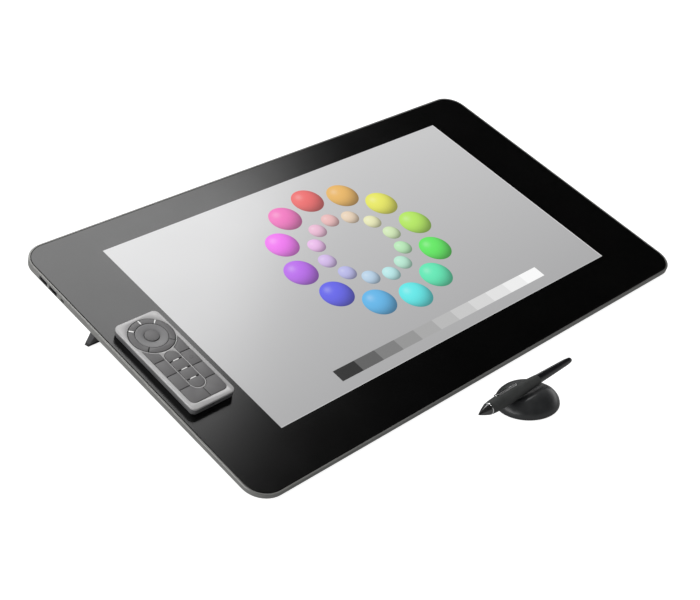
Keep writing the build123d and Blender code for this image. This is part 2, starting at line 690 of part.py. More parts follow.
with BuildPart() as remote_bottom_shell:
    with BuildSketch(pad):
        RectangleRounded(REMOTE_W - 2.4, REMOTE_L - 2.4, REMOTE_R - 1.2)
    with BuildSketch(pad.offset(2.6)):
        RectangleRounded(REMOTE_W, REMOTE_L, REMOTE_R)
    loft(ruled=True)
    with BuildSketch(pad.offset(2.6)):
        RectangleRounded(REMOTE_W, REMOTE_L, REMOTE_R)
    extrude(amount=SHELL_H - 2.6)
    with BuildSketch(pad.offset(1.6)):
        RectangleRounded(REMOTE_W - 5.0, REMOTE_L - 5.0, REMOTE_R - 2.5)
    extrude(amount=10, mode=Mode.SUBTRACT)
    with BuildSketch(Plane(origin=pad.from_local_coords(Vector(-3, -REMOTE_L / 2, 4.4)),
                           x_dir=(1, 0, 0), z_dir=-pad.y_dir)):
        RectangleRounded(7.6, 2.8, 0.9)
    extrude(amount=-4, mode=Mode.SUBTRACT)
finish(remote_bottom_shell, "remote_bottom_shell")

with BuildPart() as remote_top_frame:
    with BuildSketch(pad.offset(SHELL_H)):
        RectangleRounded(REMOTE_W, REMOTE_L, REMOTE_R)
        with Locations((0, RING_Y)):
            Circle(RING_R + KEY_GAP, mode=Mode.SUBTRACT)
        with BuildSketch(mode=Mode.PRIVATE) as key_well:
            with Locations((0, (KEYS_BOTTOM + RING_Y) / 2 - KEY_GAP / 2)):
                RectangleRounded(2 * (COLUMN_OUT + KEY_GAP), RING_Y - KEYS_BOTTOM + KEY_GAP, 6)
            with Locations((0, RING_Y)):
                Circle(ARC_R - KEY_GAP, mode=Mode.SUBTRACT)
                with Locations((0, 15)):
                    Rectangle(80, 30, mode=Mode.SUBTRACT)
        add(key_well.sketch, mode=Mode.SUBTRACT)
        with Locations((0, SHOULDER_BOTTOM + SHOULDER_L / 2)):
            Rectangle(2 * (COLUMN_IN - KEY_GAP), SHOULDER_L)
        with Locations((0, RING_Y)):
            Circle(RING_R + KEY_GAP, mode=Mode.SUBTRACT)
        with Locations((0, PILL_MID)):
            SlotOverall(PILL_LENGTH + 2 * PILL_RIM, 2 * (PILL_HALF + PILL_RIM), rotation=90)
            SlotOverall(PILL_LENGTH + 2 * KEY_GAP, 2 * (PILL_HALF + KEY_GAP), rotation=90,
                        mode=Mode.SUBTRACT)
    extrude(amount=FRAME_T)
    rim_edges = remote_top_frame.faces().sort_by(UP)[-1].outer_wire().edges()
    chamfer(rim_edges, 0.5)
finish(remote_top_frame, "remote_top_frame")

with BuildPart() as touch_ring:
    with BuildSketch(pad.offset(KEY_BOTTOM)):
        with Locations((0, RING_Y)):
            Circle(TOUCH_R)
            Circle(CENTER_KEY_R + KEY_GAP, mode=Mode.SUBTRACT)
    extrude(amount=KEY_TOP - KEY_BOTTOM - 0.3)
finish(touch_ring, "touch_ring")


def key(name, outline, top):
    """A key as tall as its travel needs, with a softened top edge."""
    with BuildPart() as cap:
        add(extrude(outline, amount=top - KEY_BOTTOM))
        chamfer(cap.faces().sort_by(UP)[-1].edges(), 0.25)
    finish(cap, name)


key_plane = pad.offset(KEY_BOTTOM)
with BuildSketch(key_plane) as round_key:
    with Locations((0, RING_Y)):
        Circle(CENTER_KEY_R)
key("remote_center_key", round_key.sketch, KEY_TOP + 0.1)

LIGHT_GAP = 0.95  # half of the gap beside a light bar
RING_SPANS = [(45, 90), (90, 135), (135, 225), (225, 315), (315, 405)]
LIT = (45, 90, 135)


def slot_half_gap(angle):
    """Half width of the gap beside a ring key at this angle."""
    return LIGHT_GAP if angle % 360 in LIT else KEY_GAP


for number, (low, high) in enumerate(RING_SPANS, start=1):
    with BuildSketch(key_plane) as arc_key:
        with Locations((0, RING_Y)):
            Circle(RING_R)
            Circle(TOUCH_R + KEY_GAP, mode=Mode.SUBTRACT)
            for angle, gap, turn in ((low, slot_half_gap(low), -1), (high, slot_half_gap(high), 1)):
                beyond = math.radians(angle + 90 * turn)
                shift = 30 - gap
                with Locations((shift * math.cos(beyond), shift * math.sin(beyond))):
                    Rectangle(120, 60, rotation=angle, mode=Mode.SUBTRACT)
    key(f"ring_key_{number}", arc_key.sketch, KEY_TOP)

strip_edges = (PILL_TOP,) + PILL_CUTS + (PILL_BOTTOM,)
for number in range(1, 5):
    high = strip_edges[number - 1] - (0 if number == 1 else 0.65)
    low = strip_edges[number] + (0 if number == 4 else 0.65)
    with BuildSketch(key_plane) as strip_key:
        with Locations((0, PILL_MID)):
            SlotOverall(PILL_LENGTH, 2 * PILL_HALF, rotation=90)
        with Locations((0, (high + low) / 2)):
            Rectangle(40, high - low, mode=Mode.INTERSECT)
    key(f"strip_key_{number}", strip_key.sketch, KEY_TOP)

column_edges = (RING_Y,) + ROWS
for side, sign in (("left", -1), ("right", 1)):
    for number in (1, 2, 3):
        high = column_edges[number - 1] - KEY_GAP
        low = column_edges[number] + KEY_GAP
        with BuildSketch(key_plane) as side_key:
            with Locations((sign * (COLUMN_IN + COLUMN_OUT) / 2, (high + low) / 2)):
                Rectangle(COLUMN_OUT - COLUMN_IN, high - low)
            if number == 1:
                with Locations((0, RING_Y)):
                    Circle(ARC_R, mode=Mode.SUBTRACT)
        key(f"{side}_key_{number}", side_key.sketch, KEY_TOP)
    with BuildSketch(key_plane) as lower_key:
        with Locations((sign * (COLUMN_OUT + KEY_GAP) / 2, (ROWS[2] - KEY_GAP + KEYS_BOTTOM) / 2)):
            Rectangle(COLUMN_OUT - KEY_GAP, ROWS[2] - KEY_GAP - KEYS_BOTTOM)
        with Locations((0, PILL_MID)):
            SlotOverall(PILL_LENGTH + 2 * PILL_RIM + 0.6, 2 * COLUMN_IN, rotation=90,
                        mode=Mode.SUBTRACT)
        corner = lower_key.vertices().sort_by(Axis.Y)[:2].sort_by(Axis.X)[0 if sign < 0 else -1]
        fillet(corner, 5.6)
    key(f"lower_key_{side}", lower_key.sketch, KEY_TOP)

BAR_TOP = KEY_TOP + 0.05
with BuildPart() as remote_light_bars:
    with BuildSketch(key_plane):
        with Locations((0, RING_Y)):
            with PolarLocations(20.6, 3, start_angle=45, angular_range=135):
                Rectangle(5.2, 1.3)
        with Locations(*[(0, y) for y in PILL_CUTS]):
            Rectangle(6.5, 0.9)
    extrude(amount=BAR_TOP - KEY_BOTTOM)
finish(remote_light_bars, "remote_light_bars")

with BuildPart() as remote_board:
    with BuildSketch(pad.offset(4.5)):
        RectangleRounded(REMOTE_W - 6, REMOTE_L - 6, 3)
    extrude(amount=1.0)
finish(remote_board, "remote_board")

with BuildPart() as remote_battery:
    with BuildSketch(pad.offset(1.7)):
        with Locations((0, 10)):
            RectangleRounded(36, 52, 2)
    extrude(amount=2.6)
finish(remote_battery, "remote_battery")

# ---- pen stand ----
STAND_X = -30.2
STAND_H = 22.0
STAND_WIDEST = 5.0
PEN_TURN = 2.0  # pen line against the tablet's front edge, degrees
PEN_DIP = 2.0  # the pen's tail lies this much lower, degrees
PEN_AXIS_Z = 24.0
PEN_LENGTH = 157.0
TIP_TO_STAND = 80.6
SCOOP_R = 10.5
GRIP_R = 7.5
stand_y = DECK_Y - STAND_AHEAD
turn = math.radians(PEN_TURN)
dip = math.radians(PEN_DIP)
pen_dir = Vector(math.cos(turn) * math.cos(dip), math.sin(turn) * math.cos(dip), -math.sin(dip))
pen_across = Vector(math.sin(turn), -math.cos(turn), 0)
over_stand = Vector(STAND_X, stand_y, PEN_AXIS_Z)
pen_tip = over_stand - pen_dir * TIP_TO_STAND
stand_side = Plane(origin=(STAND_X, stand_y, 0), x_dir=(1, 0, 0), z_dir=(0, -1, 0))
scoop_start = over_stand - pen_dir * 60 + Vector(0, 0, SCOOP_R - GRIP_R - 0.3)

with BuildPart() as pen_stand_dome:
    with BuildSketch(stand_side):
        with BuildLine():
            Line((0, 1.2), (31.0, 1.2))
            ThreePointArc((31.0, 1.2), (33.0, 2.7), (STAND_R, STAND_WIDEST))
            Spline((STAND_R, STAND_WIDEST), (28.2, 14.6), (16.0, 20.6), (0, STAND_H),
                   tangents=((0, 1), (-1, 0)))
            Line((0, STAND_H), (0, 1.2))
        make_face()
    revolve(axis=Axis((STAND_X, stand_y, 0), (0, 0, 1)))
    with BuildSketch(Plane(origin=scoop_start, x_dir=pen_across, z_dir=pen_dir)):
        Circle(SCOOP_R)
    extrude(amount=130, mode=Mode.SUBTRACT)
    with BuildSketch(Plane.XY):
        with Locations((STAND_X, stand_y)):
            Circle(28.3)
    extrude(amount=5.3, mode=Mode.SUBTRACT)
    with BuildSketch(Plane.XY):
        with Locations((STAND_X, stand_y)):
            Circle(22)
    extrude(amount=10.5, mode=Mode.SUBTRACT)
finish(pen_stand_dome, "pen_stand_dome")

with BuildPart() as pen_stand_base:
    with BuildSketch(Plane.XY):
        with Locations((STAND_X, stand_y)):
            Circle(28)
    extrude(amount=5)
    with BuildSketch(Plane.XY):
        with Locations((STAND_X, stand_y)):
            Circle(23)
            Circle(21, mode=Mode.SUBTRACT)
    extrude(amount=0.8, mode=Mode.SUBTRACT)
finish(pen_stand_base, "pen_stand_base")

# ---- pen ----
pen_plane = Plane(origin=pen_tip, x_dir=pen_dir, z_dir=-pen_across)
pen_axis = Axis(pen_tip, pen_dir)
NIB_OUT = 1.8  # nib showing beyond the cone
RING_AT = 15.0
GRIP_AT = 16.3
BARREL_AT = 96.0
ERASER_AT = 149.0


def turned(name, *outline):
    """A round pen piece from its half outline of (distance from tip, radius)."""
    with BuildPart() as piece:
        with BuildSketch(pen_plane):
            with BuildLine():
                Polyline(*outline, close=True)
            make_face()
        revolve(axis=pen_axis)
    finish(piece, name)


turned("pen_nib", (0, 0), (0.15, 0.45), (0.9, 0.8), (9, 0.8), (9, 0))
turned("pen_cone", (NIB_OUT, 0.86), (NIB_OUT, 1.3), (RING_AT - 0.05, 6.0), (RING_AT - 0.05, 4.4),
       (10, 0.86))
turned("pen_ring", (RING_AT, 4.4), (RING_AT, 6.35), (GRIP_AT - 0.05, 6.6), (GRIP_AT - 0.05, 4.4))

SWITCH_AT = 31.0
SWITCH_LENGTH = 33.0
SWITCH_W = 5.0
# the switch faces up and a little to the rear
switch_up = (Vector(0, 0, 1) * math.cos(math.radians(28)) - pen_across * math.sin(math.radians(28)))
switch_up = (switch_up - pen_dir * switch_up.dot(pen_dir)).normalized()
switch_plane = Plane(origin=pen_tip + pen_dir * (SWITCH_AT + SWITCH_LENGTH / 2), x_dir=pen_dir,
                     z_dir=switch_up)

with BuildPart() as pen_grip:
    with BuildSketch(pen_plane):
        with BuildLine():
            Line((GRIP_AT, 4.4), (GRIP_AT, 6.55))
            Spline((GRIP_AT, 6.55), (38, GRIP_R), (66, 6.9), (BARREL_AT, 5.3),
                   tangents=((1, 0.12), (1, -0.06)))
            Line((BARREL_AT, 5.3), (BARREL_AT, 4.4))
            Line((BARREL_AT, 4.4), (GRIP_AT, 4.4))
        make_face()
    revolve(axis=pen_axis)
    with BuildSketch(switch_plane.offset(5.0)):
        SlotOverall(SWITCH_LENGTH + 1.2, SWITCH_W + 1.2)
    extrude(amount=6, mode=Mode.SUBTRACT)
finish(pen_grip, "pen_grip")

with BuildPart() as pen_side_switch:
    with BuildSketch(switch_plane.offset(5.4)):
        SlotOverall(SWITCH_LENGTH, SWITCH_W)
    extrude(amount=2.5)
    switch_top = pen_side_switch.faces().sort_by(Axis(switch_plane.origin, switch_plane.z_dir))[-1]
    chamfer(switch_top.edges(), 0.5)
finish(pen_side_switch, "pen_side_switch")

with BuildPart() as pen_barrel:
    with BuildSketch(pen_plane):
        with BuildLine():
            Line((BARREL_AT + 0.05, 4.0), (BARREL_AT + 0.05, 5.1))
            Spline((BARREL_AT + 0.05, 5.1), (120, 4.5), (ERASER_AT - 0.1, 3.6),
                   tangents=((1, -0.03), (1, -0.04)))
            Line((ERASER_AT - 0.1, 3.6), (ERASER_AT - 0.1, 2.2))
            Line((ERASER_AT - 0.1, 2.2), (BARREL_AT + 6, 2.2))
            Line((BARREL_AT + 6, 2.2), (BARREL_AT + 0.05, 4.0))
        make_face()
    revolve(axis=pen_axis)
finish(pen_barrel, "pen_barrel")

ERASER_R = 2.9
DIAGONAL = math.sqrt(0.5)
tail = PEN_LENGTH - ERASER_R
with BuildPart() as pen_eraser:
    with BuildSketch(pen_plane):
        with BuildLine():
            Line((ERASER_AT - 8, 0), (ERASER_AT - 8, 2.0))
            Line((ERASER_AT - 8, 2.0), (ERASER_AT + 0.6, 2.0))
            Line((ERASER_AT + 0.6, 2.0), (ERASER_AT + 0.6, 3.3))
            Line((ERASER_AT + 0.6, 3.3), (tail, ERASER_R))
            ThreePointArc((tail, ERASER_R), (tail + ERASER_R * DIAGONAL, ERASER_R * DIAGONAL),
                          (PEN_LENGTH, 0))
            Line((PEN_LENGTH, 0), (ERASER_AT - 8, 0))
        make_face()
    revolve(axis=pen_axis)
finish(pen_eraser, "pen_eraser")
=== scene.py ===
# %% [markdown]
# # A pen display on its fold-out legs
# This notebook dresses a pen display: a wide sheet of etched glass with a picture behind it,
# a thin metal rim, a sloping plastic back, a key remote lying on the border, and a pen in a
# small dome stand. The sizes are settled in the frame that is loaded first, so every piece
# here only has to find its place in it. All lengths are in metres.

# %% Load the frame
import json
import math

import bmesh
import bpy
from mathutils import Matrix, Vector

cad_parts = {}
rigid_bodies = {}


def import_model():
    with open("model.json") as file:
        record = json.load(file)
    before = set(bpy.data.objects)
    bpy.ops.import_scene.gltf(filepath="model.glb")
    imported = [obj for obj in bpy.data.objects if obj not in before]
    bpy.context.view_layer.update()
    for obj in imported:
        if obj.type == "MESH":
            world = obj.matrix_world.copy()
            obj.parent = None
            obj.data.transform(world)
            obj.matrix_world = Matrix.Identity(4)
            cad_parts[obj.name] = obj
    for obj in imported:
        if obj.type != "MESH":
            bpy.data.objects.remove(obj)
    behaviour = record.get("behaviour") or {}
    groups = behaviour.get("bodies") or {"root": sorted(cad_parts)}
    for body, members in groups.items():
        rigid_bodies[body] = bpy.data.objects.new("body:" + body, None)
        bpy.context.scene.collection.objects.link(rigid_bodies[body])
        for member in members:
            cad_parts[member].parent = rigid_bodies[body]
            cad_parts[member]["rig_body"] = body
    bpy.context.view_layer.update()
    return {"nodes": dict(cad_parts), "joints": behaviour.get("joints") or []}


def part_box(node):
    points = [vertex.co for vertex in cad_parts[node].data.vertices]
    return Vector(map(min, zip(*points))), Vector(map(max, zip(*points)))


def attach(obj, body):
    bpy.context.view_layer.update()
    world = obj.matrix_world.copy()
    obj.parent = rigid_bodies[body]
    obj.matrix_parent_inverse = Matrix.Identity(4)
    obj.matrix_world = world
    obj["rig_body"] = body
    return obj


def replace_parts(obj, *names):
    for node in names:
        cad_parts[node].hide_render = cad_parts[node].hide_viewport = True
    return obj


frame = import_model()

MM = 0.001
nodes = frame["nodes"]
joints = {joint["name"]: joint for joint in frame["joints"]}
print("pieces in the frame:", len(nodes))

# %% [markdown]
# ## Places
# The tablet leans back on its legs, so its pieces are easiest to think of on the glass:
# across, towards the rear, and out of the glass. A 4 x 4 matrix holds such a place. Its
# columns are the three directions and the origin. The directions come from the joints: the
# remote lifts off along the glass normal, and the pen's nib slides along the pen.


# %% Place matrices
def place_matrix(origin, across, out):
    """A matrix whose X axis is across, Z axis is out, and whose origin is the given point."""
    x_axis = Vector(across).normalized()
    z_axis = Vector(out).normalized()
    y_axis = z_axis.cross(x_axis)
    turn = Matrix((x_axis, y_axis, z_axis)).transposed().to_4x4()
    return Matrix.Translation(Vector(origin)) @ turn


def middle(node):
    """Middle of a frame node's box."""
    low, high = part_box(node)
    return (low + high) / 2


GLASS_T = 1.8 * MM
PANEL_T = 1.3 * MM
glass_out = Vector(joints["remote_lift"]["axis"])
glass_mid = middle("cover_glass") + glass_out * GLASS_T / 2
on_glass = place_matrix(glass_mid, (1, 0, 0), glass_out)
TILT = math.atan2(-glass_out.y, glass_out.z)
picture_mid = middle("lcd_panel") + glass_out * (PANEL_T / 2 + GLASS_T)
pen_along = Vector(joints["pen_nib_press"]["axis"])
print("glass slope", round(math.degrees(TILT), 2), "middle", tuple(round(v, 4) for v in glass_mid))

# %% [markdown]
# ## Camera, floor and light
# The camera looks down at the near left corner. The glass is etched, so it shows a soft
# reflection: one large soft panel behind and above the tablet gives the grey veil that
# fades from the left border to the right. A second panel at the left lights the rim's left
# side. The floor glows a little by itself, as a lit studio sweep does, so shadows stay pale,
# and a pale strip low on one side of the room shows in the pen stand's gloss.

# %% Camera
CAMERA_AZIMUTH = math.radians(44.09)
CAMERA_DROP = math.radians(27.33)
CAMERA_ROLL = math.radians(-1.46)
CAMERA_FAR = 1.4235
LOOK_AT = (-0.0736, -0.0371, 0.0)  # the point on the glass in the middle of the view
look_at = on_glass @ Vector(LOOK_AT)
looking = Vector((math.sin(CAMERA_AZIMUTH) * math.cos(CAMERA_DROP),
                  math.cos(CAMERA_AZIMUTH) * math.cos(CAMERA_DROP),
                  -math.sin(CAMERA_DROP)))
camera_data = bpy.data.cameras.new("camera")
camera_data.lens = 67.45
camera_data.sensor_width = 36.0
camera = bpy.data.objects.new("camera", camera_data)
camera.location = look_at - looking * CAMERA_FAR
camera.rotation_mode = "QUATERNION"
level = looking.to_track_quat("-Z", "Y")
camera.rotation_quaternion = level @ Matrix.Rotation(CAMERA_ROLL, 4, "Z").to_quaternion()
bpy.context.scene.collection.objects.link(camera)
bpy.context.scene.camera = camera
bpy.context.scene.view_settings.view_transform = "Standard"
print("camera at", tuple(round(v, 3) for v in camera.location))


# %% Floor, surroundings and lights
def nodes_of(material):
    """A fresh node tree: the tree, its Principled shader."""
    material.use_nodes = True
    return material.node_tree, material.node_tree.nodes["Principled BSDF"]


FLOOR_GLOW = 0.92
FLOOR_GLOW_ON_OBJECT = 0.06
FLOOR_HALF = 6.0
FLOOR_DROP = -0.2 * MM  # just under the feet, so the two faces don't flicker
floor_mesh = bmesh.new()
bmesh.ops.create_grid(floor_mesh, x_segments=1, y_segments=1, size=FLOOR_HALF)
floor_data = bpy.data.meshes.new("floor")
floor_mesh.to_mesh(floor_data)
floor_mesh.free()
floor = bpy.data.objects.new("floor", floor_data)
floor.location.z = FLOOR_DROP
bpy.context.scene.collection.objects.link(floor)
floor_paint = bpy.data.materials.new("studio floor")
floor_tree, floor_shader = nodes_of(floor_paint)
floor_shader.inputs["Base Color"].default_value = (0.32, 0.32, 0.32, 1)
floor_shader.inputs["Roughness"].default_value = 1.0
floor_shader.inputs["Specular IOR Level"].default_value = 0.0
floor_shader.inputs["Emission Color"].default_value = (1, 1, 1, 1)
floor_seen = floor_tree.nodes.new("ShaderNodeLightPath")
floor_glow = floor_tree.nodes.new("ShaderNodeMapRange")
floor_glow.inputs["To Min"].default_value = FLOOR_GLOW_ON_OBJECT
floor_glow.inputs["To Max"].default_value = FLOOR_GLOW
floor_tree.links.new(floor_seen.outputs["Is Camera Ray"], floor_glow.inputs["Value"])
floor_tree.links.new(floor_glow.outputs["Result"], floor_shader.inputs["Emission Strength"])
floor_data.materials.append(floor_paint)

BRIGHT_SIDE = (-0.75, 0.35, 0.9)  # the studio's walls are lightest this way
SKY_BRIGHT = 1.1
SKY_DARK = 0.12
SKY_IN_GLOSS = 0.004
HORIZON_IN_GLOSS = 1.6  # a pale strip low in the room, seen only in reflections
HORIZON_AZIMUTH = math.radians(72)
HORIZON_FADES_FROM = math.radians(8)
HORIZON_FADES_TO = math.radians(24)
HORIZON_ELSEWHERE = 0.12  # share of the strip's glow on the room's other sides

world = bpy.data.worlds.new("studio")
bpy.context.scene.world = world
world.use_nodes = True
world_tree = world.node_tree
sky = world_tree.nodes["Background"]
paths = world_tree.nodes.new("ShaderNodeLightPath")
towards = world_tree.nodes.new("ShaderNodeTexCoord")
away = world_tree.nodes.new("ShaderNodeVectorMath")
away.operation = "DOT_PRODUCT"
away.inputs[1].default_value = Vector(BRIGHT_SIDE).normalized()
world_tree.links.new(towards.outputs["Generated"], away.inputs[0])
sides = world_tree.nodes.new("ShaderNodeMapRange")
sides.inputs["From Min"].default_value = -0.6
sides.inputs["From Max"].default_value = 0.8
sides.inputs["To Min"].default_value = SKY_DARK
sides.inputs["To Max"].default_value = SKY_BRIGHT
world_tree.links.new(away.outputs["Value"], sides.inputs["Value"])
up_parts = world_tree.nodes.new("ShaderNodeSeparateXYZ")
world_tree.links.new(towards.outputs["Generated"], up_parts.inputs[0])
horizon = world_tree.nodes.new("ShaderNodeMapRange")
horizon.interpolation_type = "SMOOTHSTEP"
horizon.inputs["From Min"].default_value = math.sin(HORIZON_FADES_FROM)
horizon.inputs["From Max"].default_value = math.sin(HORIZON_FADES_TO)
glow_side = world_tree.nodes.new("ShaderNodeVectorMath")
glow_side.operation = "DOT_PRODUCT"
glow_side.inputs[1].default_value = (math.sin(HORIZON_AZIMUTH), math.cos(HORIZON_AZIMUTH), 0)
world_tree.links.new(towards.outputs["Generated"], glow_side.inputs[0])
low_glow = world_tree.nodes.new("ShaderNodeMapRange")
low_glow.inputs["From Min"].default_value = 0.55
low_glow.inputs["From Max"].default_value = 0.95
low_glow.inputs["To Min"].default_value = HORIZON_IN_GLOSS * HORIZON_ELSEWHERE
low_glow.inputs["To Max"].default_value = HORIZON_IN_GLOSS
world_tree.links.new(glow_side.outputs["Value"], low_glow.inputs["Value"])
world_tree.links.new(low_glow.outputs["Result"], horizon.inputs["To Min"])
horizon.inputs["To Max"].default_value = SKY_IN_GLOSS
world_tree.links.new(up_parts.outputs["Z"], horizon.inputs["Value"])
glossy = world_tree.nodes.new("ShaderNodeMix")
world_tree.links.new(horizon.outputs["Result"], glossy.inputs["B"])
world_tree.links.new(paths.outputs["Is Glossy Ray"], glossy.inputs["Factor"])
world_tree.links.new(sides.outputs["Result"], glossy.inputs["A"])
seen_sky = world_tree.nodes.new("ShaderNodeMix")
seen_sky.inputs["B"].default_value = 1.0
world_tree.links.new(paths.outputs["Is Camera Ray"], seen_sky.inputs["Factor"])
world_tree.links.new(glossy.outputs["Result"], seen_sky.inputs["A"])
world_tree.links.new(seen_sky.outputs["Result"], sky.inputs["Strength"])
sky.inputs["Color"].default_value = (1, 1, 1, 1)


def softbox(name, azimuth, elevation, distance, size, power, target, colour=(1, 1, 1)):
    """A soft light panel facing the target from a compass direction (0 is the rear, 90 the right)."""
    lamp = bpy.data.lights.new(name, "AREA")
    lamp.shape = "RECTANGLE"
    lamp.size, lamp.size_y = size
    lamp.energy = power
    lamp.color = colour
    direction = Vector((math.sin(math.radians(azimuth)) * math.cos(math.radians(elevation)),
                        math.cos(math.radians(azimuth)) * math.cos(math.radians(elevation)),
                        math.sin(math.radians(elevation))))
    panel = bpy.data.objects.new(name, lamp)
    panel.location = target + direction * distance
    panel.rotation_euler = (-direction).to_track_quat("-Z", "Y").to_euler()
    bpy.context.scene.collection.objects.link(panel)
    return panel


softbox("rear softbox", 42.7, 57.9, 2.4, (1.044, 0.836), 11.3, glass_mid)
softbox("left softbox", -80, 16, 1.8, (1.6, 0.8), 17, glass_mid)

# %% [markdown]
# ## Shared effects
# Some effects come back in many finishes: the fine grain of moulded plastic, and a slow
# unevenness of gloss where hands have been. Each is a node group, made once and placed in
# every material with its own values. A group only puts out numbers; the shader stays in
# the material.


# %% Node group helpers
def new_group(name, inputs, outputs):
    """An empty node group with the given sockets, and its two end nodes."""
    group = bpy.data.node_groups.new(name, "ShaderNodeTree")
    for label, kind, value in inputs:
        socket = group.interface.new_socket(label, in_out="INPUT", socket_type=kind)
        if value is not None:
            socket.default_value = value
    for label, kind in outputs:
        group.interface.new_socket(label, in_out="OUTPUT", socket_type=kind)
    start = group.nodes.new("NodeGroupInput")
    end = group.nodes.new("NodeGroupOutput")
    return group, start, end


FLOAT = "NodeSocketFloat"
COLOUR = "NodeSocketColor"
VECTOR = "NodeSocketVector"


def math_node(tree, operation, first, second=None, third=None, clamp=False):
    """A math node whose inputs are sockets or plain numbers; gives its output."""
    node = tree.nodes.new("ShaderNodeMath")
    node.operation = operation
    node.use_clamp = clamp
    for slot, value in enumerate((first, second, third)):
        if value is None:
            continue
        if hasattr(value, "is_output"):
            tree.links.new(value, node.inputs[slot])
        else:
            node.inputs[slot].default_value = value
    return node.outputs[0]


def map_range(tree, value, low, high, to_low=0.0, to_high=1.0, smooth=False):
    """Stretches a value from one range onto another, clamped."""
    node = tree.nodes.new("ShaderNodeMapRange")
    node.interpolation_type = "SMOOTHSTEP" if smooth else "LINEAR"
    node.clamp = True
    tree.links.new(value, node.inputs["Value"])
    for label, number in (("From Min", low), ("From Max", high), ("To Min", to_low), ("To Max", to_high)):
        node.inputs[label].default_value = number
    return node.outputs["Result"]


def mix_colour(tree, factor, first, second, blend="MIX"):
    """Mixes two colours, each a socket or a plain colour."""
    node = tree.nodes.new("ShaderNodeMix")
    node.data_type = "RGBA"
    node.blend_type = blend
    for label, value in ((0, factor), (6, first), (7, second)):
        if hasattr(value, "is_output"):
            tree.links.new(value, node.inputs[label])
        elif label == 0:
            node.inputs[label].default_value = value
        else:
            node.inputs[label].default_value = (*value, 1.0)
    return node.outputs[2]


# %% Group: moulded grain
grain_group, grain_in, grain_out = new_group(
    "moulded grain",
    [("Vector", VECTOR, None), ("Grain size", FLOAT, 0.0004), ("Unevenness size", FLOAT, 0.03)],
    [("Height", FLOAT), ("Unevenness", FLOAT)])
per_metre = math_node(grain_group, "DIVIDE", 1.0, grain_in.outputs["Grain size"])
fine = grain_group.nodes.new("ShaderNodeTexNoise")
fine.inputs["Detail"].default_value = 2.0
grain_group.links.new(grain_in.outputs["Vector"], fine.inputs["Vector"])
grain_group.links.new(per_metre, fine.inputs["Scale"])
slow_scale = math_node(grain_group, "DIVIDE", 1.0, grain_in.outputs["Unevenness size"])
slow = grain_group.nodes.new("ShaderNodeTexNoise")
slow.inputs["Detail"].default_value = 3.0
slow.inputs["Roughness"].default_value = 0.6
grain_group.links.new(grain_in.outputs["Vector"], slow.inputs["Vector"])
grain_group.links.new(slow_scale, slow.inputs["Scale"])
grain_group.links.new(fine.outputs["Fac"], grain_out.inputs["Height"])
grain_group.links.new(slow.outputs["Fac"], grain_out.inputs["Unevenness"])

# %% [markdown]
# ## Finishes
# Most of the tablet is moulded plastic, rubber or metal. One function lays the grain group
# under a Principled shader: the grain feeds a Bump node, and the slow unevenness tints the
# colour and the roughness a little, so no surface is perfectly flat.


# %% Finish helper
def finish(name, colour, roughness, metallic=0.0, grain=0.0004, depth=0.00002, uneven=0.03,
           tint=0.12, gloss_spread=0.06, coat=0.0, specular=0.5):
    """A material with fine grain and slow unevenness of tone and gloss."""
    material = bpy.data.materials.new(name)
    tree, shader = nodes_of(material)
    where = tree.nodes.new("ShaderNodeTexCoord")
    group = tree.nodes.new("ShaderNodeGroup")
    group.node_tree = grain_group
    group.inputs["Grain size"].default_value = grain
    group.inputs["Unevenness size"].default_value = uneven
    tree.links.new(where.outputs["Object"], group.inputs["Vector"])
    bump = tree.nodes.new("ShaderNodeBump")
    bump.inputs["Strength"].default_value = 0.6
    bump.inputs["Distance"].default_value = depth
    tree.links.new(group.outputs["Height"], bump.inputs["Height"])
    tree.links.new(bump.outputs["Normal"], shader.inputs["Normal"])
    light = tuple(min(1.0, channel * (1 + tint) + 0.002) for channel in colour)
    dark = tuple(channel * (1 - tint) for channel in colour)
    worn = map_range(tree, group.outputs["Unevenness"], 0.35, 0.65)
    tree.links.new(mix_colour(tree, worn, dark, light), shader.inputs["Base Color"])
    tree.links.new(map_range(tree, group.outputs["Unevenness"], 0.3, 0.7,
                             roughness - gloss_spread, roughness + gloss_spread),
                   shader.inputs["Roughness"])
    shader.inputs["Metallic"].default_value = metallic
    shader.inputs["Coat Weight"].default_value = coat
    shader.inputs["Specular IOR Level"].default_value = specular
    return material


cover_plastic = finish("moulded back cover", (0.035, 0.035, 0.038), 0.55, grain=0.0005, depth=0.00004)
leg_plastic = finish("moulded leg", (0.045, 0.045, 0.047), 0.5, grain=0.0005, depth=0.00003)
soft_rubber = finish("foot rubber", (0.022, 0.022, 0.022), 0.85, grain=0.0003, depth=0.00003)
rim_metal = finish("blasted rim", (0.27, 0.27, 0.26), 0.42, metallic=0.75, grain=0.0002,
                   depth=0.000006, tint=0.05, gloss_spread=0.03)
sheet_metal = finish("pressed sheet", (0.55, 0.56, 0.57), 0.38, metallic=1.0, grain=0.001, depth=0.00001)
steel = finish("turned steel", (0.50, 0.50, 0.51), 0.3, metallic=1.0, grain=0.0004, depth=0.000008)
brass = finish("brass insert", (0.70, 0.50, 0.20), 0.32, metallic=1.0, grain=0.0004, depth=0.000008)
socket_plate = finish("plated socket", (0.52, 0.52, 0.54), 0.28, metallic=1.0, grain=0.0006, depth=0.000006)
board_green = finish("solder mask", (0.02, 0.10, 0.05), 0.35, grain=0.0012, depth=0.00003, tint=0.3)
white_mould = finish("white sheets", (0.72, 0.72, 0.70), 0.5)
fan_plastic = finish("fan plastic", (0.02, 0.02, 0.022), 0.45)
button_gloss = finish("smooth button", (0.03, 0.03, 0.033), 0.25, grain=0.0008, depth=0.000004)
remote_silver = finish("satin silver", (0.46, 0.455, 0.455), 0.42, metallic=0.35, grain=0.00025,
                       depth=0.000006, tint=0.03, gloss_spread=0.03)
